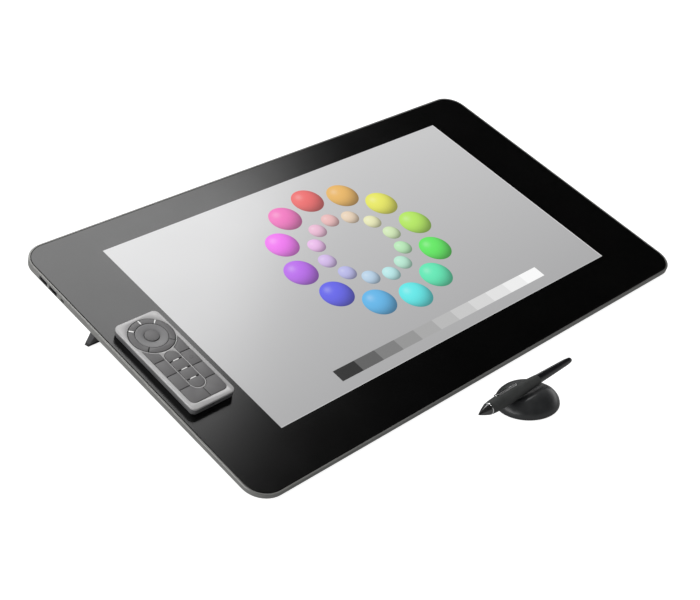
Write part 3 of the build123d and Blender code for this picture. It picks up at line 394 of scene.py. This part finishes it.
remote_dark = finish("remote shell", (0.09, 0.09, 0.093), 0.5, grain=0.0003, depth=0.00001)
key_grey = finish("satin keys", (0.122, 0.119, 0.121), 0.42, grain=0.00025, depth=0.000006, tint=0.05)
ring_grey = finish("touch ring", (0.148, 0.146, 0.149), 0.36, grain=0.00025, depth=0.000004, tint=0.05)
bar_white = finish("light guide", (0.80, 0.80, 0.79), 0.3, grain=0.001, depth=0.000004, tint=0.03)
foil = finish("cell foil", (0.35, 0.36, 0.38), 0.35, metallic=0.8, grain=0.001)
grip_rubber = finish("grip rubber", (0.030, 0.032, 0.031), 0.62, grain=0.0003, depth=0.00003, uneven=0.012)
barrel_black = finish("polished barrel", (0.008, 0.008, 0.009), 0.14, grain=0.002, depth=0.000002,
                      coat=0.3, gloss_spread=0.03)
cone_dark = finish("polished dark cone", (0.12, 0.12, 0.12), 0.22, metallic=0.9, grain=0.001,
                   depth=0.000004)
bright_metal = finish("bright ring", (0.86, 0.86, 0.86), 0.2, metallic=1.0, grain=0.001, depth=0.000002,
                      tint=0.02)
nib_black = finish("hard nib", (0.02, 0.02, 0.02), 0.4)
stand_black = finish("satin stand", (0.020, 0.021, 0.022), 0.36, grain=0.0004, depth=0.000012, uneven=0.02)

# %% [markdown]
# ## The picture
# The display shows a plain colour chart: a wheel of twelve painted balls, a smaller wheel of
# their tints, and a strip of greys on a light ground. It could be an image texture, but it
# is drawn with nodes, so it stays sharp at any size. A Mapping node set to Texture turns the
# Object coordinates into millimetres on the glass. Each ball is one group: from the distance
# to its middle it works out the height of a sphere, and from that the light and dark side.

# %% Group: painted ball
ball_group, ball_in, ball_out = new_group(
    "painted ball",
    [("Vector", VECTOR, None), ("Dark", COLOUR, (0, 0, 0, 1)), ("Lit", COLOUR, (1, 1, 1, 1)),
     ("Shine", FLOAT, 0.3)],
    [("Color", COLOUR), ("Mask", FLOAT)])
flat = ball_group.nodes.new("ShaderNodeVectorMath")
flat.operation = "MULTIPLY"
flat.inputs[1].default_value = (1, 1, 0)
ball_group.links.new(ball_in.outputs["Vector"], flat.inputs[0])
reach = ball_group.nodes.new("ShaderNodeVectorMath")
reach.operation = "LENGTH"
ball_group.links.new(flat.outputs[0], reach.inputs[0])
square = math_node(ball_group, "POWER", reach.outputs["Value"], 2.0)
height = math_node(ball_group, "SQRT", math_node(ball_group, "SUBTRACT", 1.0, square, clamp=True))
parts = ball_group.nodes.new("ShaderNodeSeparateXYZ")
ball_group.links.new(flat.outputs[0], parts.inputs[0])
bulge = ball_group.nodes.new("ShaderNodeCombineXYZ")
ball_group.links.new(parts.outputs["X"], bulge.inputs["X"])
ball_group.links.new(parts.outputs["Y"], bulge.inputs["Y"])
ball_group.links.new(height, bulge.inputs["Z"])


def lit_from(tree, normal, direction):
    """How squarely a painted normal faces a direction."""
    dot = tree.nodes.new("ShaderNodeVectorMath")
    dot.operation = "DOT_PRODUCT"
    tree.links.new(normal, dot.inputs[0])
    dot.inputs[1].default_value = Vector(direction).normalized()
    return dot.outputs["Value"]


facing = lit_from(ball_group, bulge.outputs[0], (-0.35, 0.7, 0.8))
body_tone = map_range(ball_group, facing, -0.45, 0.95, smooth=True)
plain = mix_colour(ball_group, body_tone, (0, 0, 0), (1, 1, 1))
ball_group.links.new(ball_in.outputs["Dark"], ball_group.nodes[-1].inputs[6])
ball_group.links.new(ball_in.outputs["Lit"], ball_group.nodes[-1].inputs[7])
glint = lit_from(ball_group, bulge.outputs[0], (-0.28, 0.55, 0.85))
spot = math_node(ball_group, "POWER", math_node(ball_group, "MAXIMUM", glint, 0.0), 28.0)
spot = math_node(ball_group, "MULTIPLY", spot, ball_in.outputs["Shine"])
shone = mix_colour(ball_group, spot, plain, (1, 1, 1))
ball_group.links.new(shone, ball_out.inputs["Color"])
ball_group.links.new(map_range(ball_group, reach.outputs["Value"], 1.0, 0.985), ball_out.inputs["Mask"])

# %% Group: the colour chart
import colorsys

ACTIVE_HALF = Vector((261.2, 146.95))  # half of the picture, in millimetres
HUES = 12
WHEEL_MIDDLE = Vector((0.0, 14.0))
WHEELS = ((92.0, 20.0, 0.85), (52.0, 11.0, 0.40))  # wheel radius, ball radius, saturation
LIT_VALUE, DARK_VALUE = 0.80, 0.28
GREY_STEPS = 11
STRIP_HALF_LENGTH, STRIP_HALF_WIDTH, STRIP_UP = 165.0, 8.0, -125.0
EDGE_LINE = 0.9  # millimetres of pale line where the lit area ends

picture_group, picture_in, picture_out = new_group(
    "colour chart", [("Vector", VECTOR, None)], [("Color", COLOUR), ("Mask", FLOAT)])
art = picture_group
spot_on_glass = picture_in.outputs["Vector"]
split_uv = art.nodes.new("ShaderNodeSeparateXYZ")
art.links.new(spot_on_glass, split_uv.inputs[0])
across_mm, up_mm = split_uv.outputs["X"], split_uv.outputs["Y"]


def ball(under, centre, radius, dark, lit, shine=0.15):
    """Paints a ball over what is there already and gives the new colour."""
    moved = art.nodes.new("ShaderNodeMapping")
    moved.vector_type = "TEXTURE"
    moved.inputs["Location"].default_value = (*centre, 0)
    moved.inputs["Scale"].default_value = (radius, radius, 1)
    art.links.new(spot_on_glass, moved.inputs["Vector"])
    node = art.nodes.new("ShaderNodeGroup")
    node.node_tree = ball_group
    art.links.new(moved.outputs["Vector"], node.inputs["Vector"])
    node.inputs["Dark"].default_value = (*dark, 1)
    node.inputs["Lit"].default_value = (*lit, 1)
    node.inputs["Shine"].default_value = shine
    return mix_colour(art, node.outputs["Mask"], under, node.outputs["Color"])


def within(value, middle_at, half):
    """1 where a value lies within half of a middle, else 0."""
    away_from = math_node(art, "ABSOLUTE", math_node(art, "SUBTRACT", value, middle_at))
    return math_node(art, "LESS_THAN", away_from, half)


picture = mix_colour(art, map_range(art, up_mm, -147, 147), (0.385, 0.385, 0.39), (0.56, 0.56, 0.565))
for wheel_radius, ball_radius, saturation in WHEELS:
    for step in range(HUES):
        turn = math.tau * step / HUES
        centre = WHEEL_MIDDLE + wheel_radius * Vector((math.sin(turn), math.cos(turn)))
        dark = colorsys.hsv_to_rgb(step / HUES, saturation, DARK_VALUE)
        lit = colorsys.hsv_to_rgb(step / HUES, saturation, LIT_VALUE)
        picture = ball(picture, centre, ball_radius, dark, lit)

# the strip of greys goes from black to white in even steps
along_strip = map_range(art, across_mm, -STRIP_HALF_LENGTH, STRIP_HALF_LENGTH, 0.0, GREY_STEPS - 0.001)
grey = math_node(art, "DIVIDE", math_node(art, "FLOOR", along_strip), GREY_STEPS - 1)
grey = mix_colour(art, grey, (0.01, 0.01, 0.01), (0.92, 0.92, 0.92))
on_strip = math_node(art, "MULTIPLY", within(across_mm, 0.0, STRIP_HALF_LENGTH),
                     within(up_mm, STRIP_UP, STRIP_HALF_WIDTH))
picture = mix_colour(art, on_strip, picture, grey)

inside_picture = math_node(art, "MULTIPLY", within(across_mm, 0.0, ACTIVE_HALF.x),
                           within(up_mm, 0.0, ACTIVE_HALF.y))
right_line = math_node(art, "GREATER_THAN", across_mm, ACTIVE_HALF.x - EDGE_LINE)
front_line = math_node(art, "LESS_THAN", up_mm, EDGE_LINE * 0.7 - ACTIVE_HALF.y)
picture = mix_colour(art, right_line, picture, (0.82, 0.82, 0.82))
picture = mix_colour(art, math_node(art, "MULTIPLY", front_line, 0.5), picture, (0.82, 0.82, 0.82))
art.links.new(picture, picture_out.inputs["Color"])
art.links.new(inside_picture, picture_out.inputs["Mask"])
print("chart nodes:", len(art.nodes))


# %% [markdown]
# ## Cover glass
# The glass is bonded to the panel, so no depth shows between them: the eye reads one sheet
# that is black at its border and bright in the middle. It is made as one opaque sheet with
# the picture as its glow. Its top is etched, which is a dielectric with a broad gloss.


# %% Etched display glass
def display_finish(name, roughness, glow, ink):
    """Black border with the lit picture inside it."""
    material = bpy.data.materials.new(name)
    tree, shader = nodes_of(material)
    where = tree.nodes.new("ShaderNodeTexCoord")
    on_picture = tree.nodes.new("ShaderNodeMapping")
    on_picture.vector_type = "TEXTURE"
    on_picture.inputs["Location"].default_value = picture_mid
    on_picture.inputs["Rotation"].default_value = (TILT, 0, 0)
    on_picture.inputs["Scale"].default_value = (MM, MM, MM)
    tree.links.new(where.outputs["Object"], on_picture.inputs["Vector"])
    chart = tree.nodes.new("ShaderNodeGroup")
    chart.node_tree = picture_group
    tree.links.new(on_picture.outputs["Vector"], chart.inputs["Vector"])
    grain_node = tree.nodes.new("ShaderNodeGroup")
    grain_node.node_tree = grain_group
    grain_node.inputs["Grain size"].default_value = 0.0003
    grain_node.inputs["Unevenness size"].default_value = 0.09
    tree.links.new(where.outputs["Object"], grain_node.inputs["Vector"])
    seen = mix_colour(tree, chart.outputs["Mask"], (0, 0, 0), chart.outputs["Color"])
    tree.links.new(seen, shader.inputs["Emission Color"])
    shader.inputs["Emission Strength"].default_value = glow
    printed = mix_colour(tree, chart.outputs["Mask"], ink, (0.03, 0.03, 0.03))
    tree.links.new(printed, shader.inputs["Base Color"])
    etched = map_range(tree, grain_node.outputs["Unevenness"], 0.3, 0.7,
                       roughness - 0.015, roughness + 0.015)
    tree.links.new(etched, shader.inputs["Roughness"])
    shader.inputs["IOR"].default_value = 1.5
    return material


etched_glass = display_finish("etched display glass", 0.21, 1.0, (0.0004, 0.0004, 0.0004))
panel_face = display_finish("panel face", 0.4, 1.0, (0.02, 0.02, 0.02))


# %% [markdown]
# ## Dressing the frame's own pieces
# Where the frame's piece already has the right shape, it only gets a finish. Its mesh is
# left alone. Pieces whose edges catch the light are copied first: the copy's loose
# triangles are merged, flat faces are joined, and the sharp edges get a narrow bevel.


# %% Dress and soften
def dress(material, *names):
    """Gives frame pieces a finish."""
    for name in names:
        slots = nodes[name].data.materials
        slots.clear()
        slots.append(material)


def piece(name, mesh, body, material, smooth=35.0):
    """Turns a finished bmesh into a piece that rides on a body."""
    data = bpy.data.meshes.new(name)
    mesh.to_mesh(data)
    mesh.free()
    for polygon in data.polygons:
        polygon.use_smooth = True
    data.set_sharp_from_angle(angle=math.radians(smooth))
    data.materials.append(material)
    made = bpy.data.objects.new(name, data)
    bpy.context.scene.collection.objects.link(made)
    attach(made, body)
    return made


def softened(node, material, width, segments=2, corner=32.0):
    """A copy of a frame piece with its sharp edges rounded, in that piece's stead."""
    mesh = bmesh.new()
    mesh.from_mesh(nodes[node].data)
    bmesh.ops.remove_doubles(mesh, verts=mesh.verts, dist=2e-6)
    bmesh.ops.dissolve_limit(mesh, angle_limit=math.radians(0.3), verts=mesh.verts, edges=mesh.edges,
                             use_dissolve_boundaries=False)
    sharp = [edge for edge in mesh.edges
             if edge.is_manifold and abs(edge.calc_face_angle(0)) > math.radians(corner)]
    bmesh.ops.bevel(mesh, geom=sharp, offset=width, offset_type="OFFSET", segments=segments, profile=0.5,
                    affect="EDGES", clamp_overlap=True, material=-1)
    made = piece(node + "_soft", mesh, nodes[node]["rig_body"], material, smooth=40.0)
    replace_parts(made, node)
    return made


dress(etched_glass, "cover_glass")
dress(panel_face, "lcd_panel")
dress(soft_rubber, "display_gasket", "pen_stand_base")
dress(white_mould, "backlight_unit")
dress(board_green, "sensor_board", "main_board", "remote_board")
dress(sheet_metal, "chassis_frame")
dress(rim_metal, "side_rim")
dress(socket_plate, "left_sockets", "right_sockets", "rear_sockets")
dress(cover_plastic, "rear_cover", "rear_tray", "bay_cover", "port_cover")
dress(steel, "back_screws", "leg_brackets", "leg_hinge_pins")
dress(brass, "mount_inserts")
dress(fan_plastic, "fan_housing", "fan_rotor")
dress(button_gloss, "power_button")
dress(foil, "remote_battery")
dress(soft_rubber, "rubber_feet")
dress(remote_dark, "remote_bottom_shell")
dress(remote_silver, "remote_top_frame")
dress(ring_grey, "touch_ring")
dress(bar_white, "remote_light_bars")
dress(nib_black, "pen_nib")
dress(cone_dark, "pen_cone")
dress(bright_metal, "pen_ring")
dress(grip_rubber, "pen_grip")
dress(barrel_black, "pen_barrel", "pen_eraser", "pen_side_switch")
dress(stand_black, "pen_stand_dome")
key_nodes = [name for name in nodes if name.endswith("_key") or "_key_" in name]
dress(key_grey, *key_nodes)
dress(leg_plastic, "leg_left", "leg_right")
dress(soft_rubber, "leg_foot_left", "leg_foot_right")

# %% [markdown]
# ## Key remote
# The remote is a silver frame over a dark shell, with satin keys. Its shapes are nearly right
# in the frame already, so most edges are only rounded. The dial is spun again with a shallow
# dish, and the keys round it are drawn in a little. One key carries a small raised square,
# so that a thumb finds the middle of the column without looking.

# %% Remote edges and the tactile mark
softened("remote_top_frame", remote_silver, 0.25 * MM)
softened("remote_bottom_shell", remote_dark, 0.5 * MM, segments=3)
RING_DRAWN_IN = 0.985  # the ring's keys stand a hair inside the frame's hole, so the gap reads dark
for name in key_nodes:
    soft_key = softened(name, key_grey, 0.12 * MM)
    if name.startswith("ring_key"):
        hub = middle("remote_center_key")
        for vert in soft_key.data.vertices:
            rise = glass_out * (vert.co - hub).dot(glass_out)
            flat_part = vert.co - hub - rise
            vert.co = hub + rise + flat_part * RING_DRAWN_IN


def spun(outline, steps=72):
    """A half outline of (along, radius) points in millimetres, spun once round the X axis."""
    mesh = bmesh.new()
    verts = [mesh.verts.new((along, radius, 0)) for along, radius in outline]
    edges = [mesh.edges.new(pair) for pair in zip(verts, verts[1:])]
    bmesh.ops.spin(mesh, geom=verts + edges, axis=(1, 0, 0), cent=(0, 0, 0), steps=steps,
                   angle=math.tau, use_merge=True)
    bmesh.ops.remove_doubles(mesh, verts=mesh.verts, dist=1e-4)
    bmesh.ops.recalc_face_normals(mesh, faces=mesh.faces)
    return mesh


def block(length, width, height, corner, top_round, segments=6):
    """A bar in millimetres standing on z = 0, with round corners and a softened top edge."""
    mesh = bmesh.new()
    bmesh.ops.create_cube(mesh, size=1.0)
    bmesh.ops.translate(mesh, verts=mesh.verts, vec=(0, 0, 0.5))
    bmesh.ops.scale(mesh, verts=mesh.verts, vec=(length, width, height))
    upright = [edge for edge in mesh.edges
               if abs(edge.verts[0].co.z - edge.verts[1].co.z) > height / 2]
    bmesh.ops.bevel(mesh, geom=upright, offset=corner, offset_type="OFFSET", segments=segments,
                    profile=0.5, affect="EDGES", clamp_overlap=True, material=-1)
    if top_round:
        upper = [edge for edge in mesh.edges if min(vert.co.z for vert in edge.verts) > height * 0.99]
        bmesh.ops.bevel(mesh, geom=upper, offset=top_round, offset_type="OFFSET", segments=3,
                        profile=0.5, affect="EDGES", clamp_overlap=True, material=-1)
    return mesh


def hollowed(mesh, wall):
    """Turns a block into a ring by taking out all but a wall round its upright sides."""
    top = max(mesh.faces, key=lambda face: face.calc_center_median().z)
    bottom = min(mesh.faces, key=lambda face: face.calc_center_median().z)
    bmesh.ops.inset_region(mesh, faces=[top], thickness=wall, use_even_offset=True)
    bmesh.ops.inset_region(mesh, faces=[bottom], thickness=wall, use_even_offset=True)
    inner = list(top.edges) + list(bottom.edges)
    bmesh.ops.delete(mesh, geom=[top, bottom], context="FACES_ONLY")
    bmesh.ops.bridge_loops(mesh, edges=inner)
    bmesh.ops.recalc_face_normals(mesh, faces=mesh.faces)
    return mesh


def settle(mesh, where):
    """Takes a mesh from millimetres to its place in metres."""
    bmesh.ops.transform(mesh, matrix=where @ Matrix.Scale(MM, 4), verts=mesh.verts)
    return mesh


def top_of(node):
    """Middle of a key's top face, on the remote's own slope."""
    points = [vert.co for vert in nodes[node].data.vertices]
    highest = max(point.dot(glass_out) for point in points)
    centre = middle(node)
    return centre + glass_out * (highest - centre.dot(glass_out))


dial_top = top_of("touch_ring")
dial_mid = middle("remote_center_key")
dial_mid += glass_out * (dial_top - dial_mid).dot(glass_out)
DIAL = [(-1.6, 7.9), (-0.75, 7.9), (-0.6, 8.0), (-0.52, 8.3), (-0.3, 11.5), (-0.12, 14.5),
        (-0.02, 16.2), (-0.06, 16.6), (-0.25, 16.8), (-1.6, 16.8), (-1.6, 7.9)]
dial = spun(DIAL, 128)
dial = piece("dial", settle(dial, place_matrix(dial_mid, glass_out, (1, 0, 0))),
             nodes["touch_ring"]["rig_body"], ring_grey, 30)
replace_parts(dial, "touch_ring")

MARK_SIDE = 4.2
mark = hollowed(block(MARK_SIDE, MARK_SIDE, 0.3, 0.6, 0.1, segments=3), 0.5)
mark_place = place_matrix(top_of("right_key_2") - glass_out * 0.1 * MM, (1, 0, 0), glass_out)
piece("tactile_mark", settle(mark, mark_place), "right_key_2", key_grey)

# %% [markdown]
# ## Pen
# The pen is turned work, so its nib, cone and eraser are half outlines spun once round the
# pen's axis. The grip keeps the frame's shape, which already has the slot for the switch.
# The switch is a rocker with a thin bright bezel round its front half and a bright rear half.

# %% Pen place and the spin helper
SWITCH_JOINT = joints["pen_switch_rock"]
NIB_LENGTH = 9.0
pen_tip = middle("pen_nib") - pen_along * NIB_LENGTH / 2 * MM
switch_up = pen_along.cross(Vector(SWITCH_JOINT["axis"])).normalized()
on_pen = place_matrix(pen_tip, pen_along, switch_up)
on_switch = place_matrix(Vector(SWITCH_JOINT["pos_m"]), pen_along, switch_up)


def curve_points(points, steps=10):
    """Rounds an outline: each span becomes a few points of a smooth curve through all of them."""
    smooth = []
    for at in range(len(points) - 1):
        before = points[max(at - 1, 0)]
        start, end = points[at], points[at + 1]
        after = points[min(at + 2, len(points) - 1)]
        for step in range(steps):
            t = step / steps
            smooth.append(tuple(
                0.5 * (2 * b + (c - a) * t + (2 * a - 5 * b + 4 * c - d) * t * t
                       + (3 * b - a - 3 * c + d) * t ** 3)
                for a, b, c, d in zip(before, start, end, after)))
    return smooth + [points[-1]]


# %% Nib, cone, ring and eraser
NIB = [(0, 0), (0.08, 0.3), (0.3, 0.55), (0.9, 0.78), (1.4, 0.8), (NIB_LENGTH, 0.8), (NIB_LENGTH, 0)]
nib = spun(NIB, 32)
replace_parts(piece("nib", settle(nib, on_pen), "pen_nib", nib_black), "pen_nib")
cone_outline = curve_points([(1.8, 1.3), (5.0, 2.62), (9.5, 4.42), (14.2, 5.95)], 8)
CONE_BORE = [(10, 0.86), (1.85, 0.86), (1.8, 1.1)]
CONE_END = [(14.75, 6.0), (14.9, 5.8), (14.95, 4.6), (10, 0.86)]
cone = spun(CONE_BORE + cone_outline + CONE_END)
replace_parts(piece("cone", settle(cone, on_pen), "pen", cone_dark, 30), "pen_cone")
RING = [(15.0, 4.5), (15.0, 6.2), (15.12, 6.38), (16.1, 6.52), (16.25, 6.35), (16.25, 4.5), (15.0, 4.5)]
ring = spun(RING)
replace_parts(piece("bright_ring", settle(ring, on_pen), "pen", bright_metal, 30), "pen_ring")
ERASER_END = [(152.0, 3.22), (154.0, 2.95), (155.4, 2.35), (156.5, 1.3), (157.0, 0.0)]
ERASER_STEM = [(141.0, 0), (141.0, 2.0), (149.6, 2.0), (149.65, 3.1), (149.85, 3.28)]
eraser = spun(ERASER_STEM + curve_points(ERASER_END, 5))
eraser = piece("eraser", settle(eraser, on_pen), "pen_eraser", barrel_black, 30)
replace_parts(eraser, "pen_eraser")

# %% Side switch with its bezel
SWITCH_L, SWITCH_W, SWITCH_H = 33.0, 5.0, 2.9
BEZEL_GAP = 0.5  # the bezel stops this short of the bright half, which rocks
SPLIT_AT = 3.5  # the bright rear half starts here, from the switch's middle


def cut_at(mesh, along, keep):
    """Cuts a mesh across its length, keeps the rear (1) or front (-1), and closes the cut."""
    cut = bmesh.ops.bisect_plane(mesh, geom=mesh.verts[:] + mesh.edges[:] + mesh.faces[:], dist=1e-5,
                                 plane_co=(along, 0, 0), plane_no=(-keep, 0, 0), clear_outer=True)
    rim_edges = [item for item in cut["geom_cut"] if isinstance(item, bmesh.types.BMEdge)]
    bmesh.ops.holes_fill(mesh, edges=rim_edges)
    bmesh.ops.recalc_face_normals(mesh, faces=mesh.faces)
    return mesh


for part, keep, finish_here, slot_here in (
        ("switch_front", -1, barrel_black, "barrel_gloss"),
        ("switch_rear", 1, bright_metal, "bright_ring")):
    half = cut_at(block(SWITCH_L, SWITCH_W, SWITCH_H, 2.45, 0.7, segments=10), SPLIT_AT, keep)
    made = piece(part, settle(half, on_switch), "pen_side_switch", finish_here)
    if keep < 0:
        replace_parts(made, "pen_side_switch")
bezel = hollowed(block(SWITCH_L + 1.4, SWITCH_W + 1.4, 2.9, 3.1, 0.15, segments=10), 0.5)
bezel = cut_at(bezel, SPLIT_AT - BEZEL_GAP, -1)
piece("switch_bezel", settle(bezel, on_switch), "pen", bright_metal)

# %% [markdown]
# ## Pen stand
# The stand is a low dome with a soft valley for the pen. The dome is spun from its side
# view, close enough that its points can be pressed down: each point looks up how high the
# valley floor is at its place and eases down to it where the dome stands higher.

# %% Dome with its valley
base_mid = middle("pen_stand_base")
DOME = [(22.0, 0.0), (21.85, 6.0), (21.0, 13.5), (18.9, 20.5), (14.8, 27.4), (9.6, 31.9), (5.0, 33.3),
        (2.6, 32.9), (1.3, 31.2)]
DOME_UNDERSIDE = [(1.25, 28.4), (5.2, 28.35)]
dome = spun(curve_points(DOME, 9) + DOME_UNDERSIDE, 160)
dome_place = Matrix.Rotation(math.radians(-90), 4, "Y")
bmesh.ops.transform(dome, matrix=dome_place, verts=dome.verts)
VALLEY_FLOOR, VALLEY_R, EASE = 15.9, 15.0, 1.6
pen_level = Vector((pen_along.x, pen_along.y, 0)).normalized()
pen_side = Vector((pen_level.y, -pen_level.x, 0))
for vert in dome.verts:
    across = abs(vert.co.dot(pen_side))
    along = vert.co.dot(pen_level)
    reach = min(across, VALLEY_R * 0.86)
    floor_here = VALLEY_FLOOR + VALLEY_R - math.sqrt(VALLEY_R ** 2 - reach ** 2) + (across - reach) * 1.7
    floor_here -= along * math.tan(math.asin(-pen_along.z))
    gap = (vert.co.z - floor_here) / EASE
    if vert.co.z > 5.3 and gap > -3:
        vert.co.z -= EASE * (math.log1p(math.exp(gap)) if gap < 30 else gap)
bmesh.ops.recalc_face_normals(dome, faces=dome.faces)
dome_piece = piece("stand_dome", settle(dome, Matrix.Translation((base_mid.x, base_mid.y, 0))),
                   "pen_stand", stand_black, 60)
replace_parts(dome_piece, "pen_stand_dome")
print("dome top", round(max(v.co.z for v in dome_piece.data.vertices), 4))

# %% [markdown]
# ## Legs and feet
# Moulded legs have small radii all round, which catch a line of light, so they are softened
# like the remote.

# %% Softened legs
for side in ("left", "right"):
    softened(f"leg_{side}", leg_plastic, 0.5 * MM)
    softened(f"leg_foot_{side}", soft_rubber, 0.4 * MM)
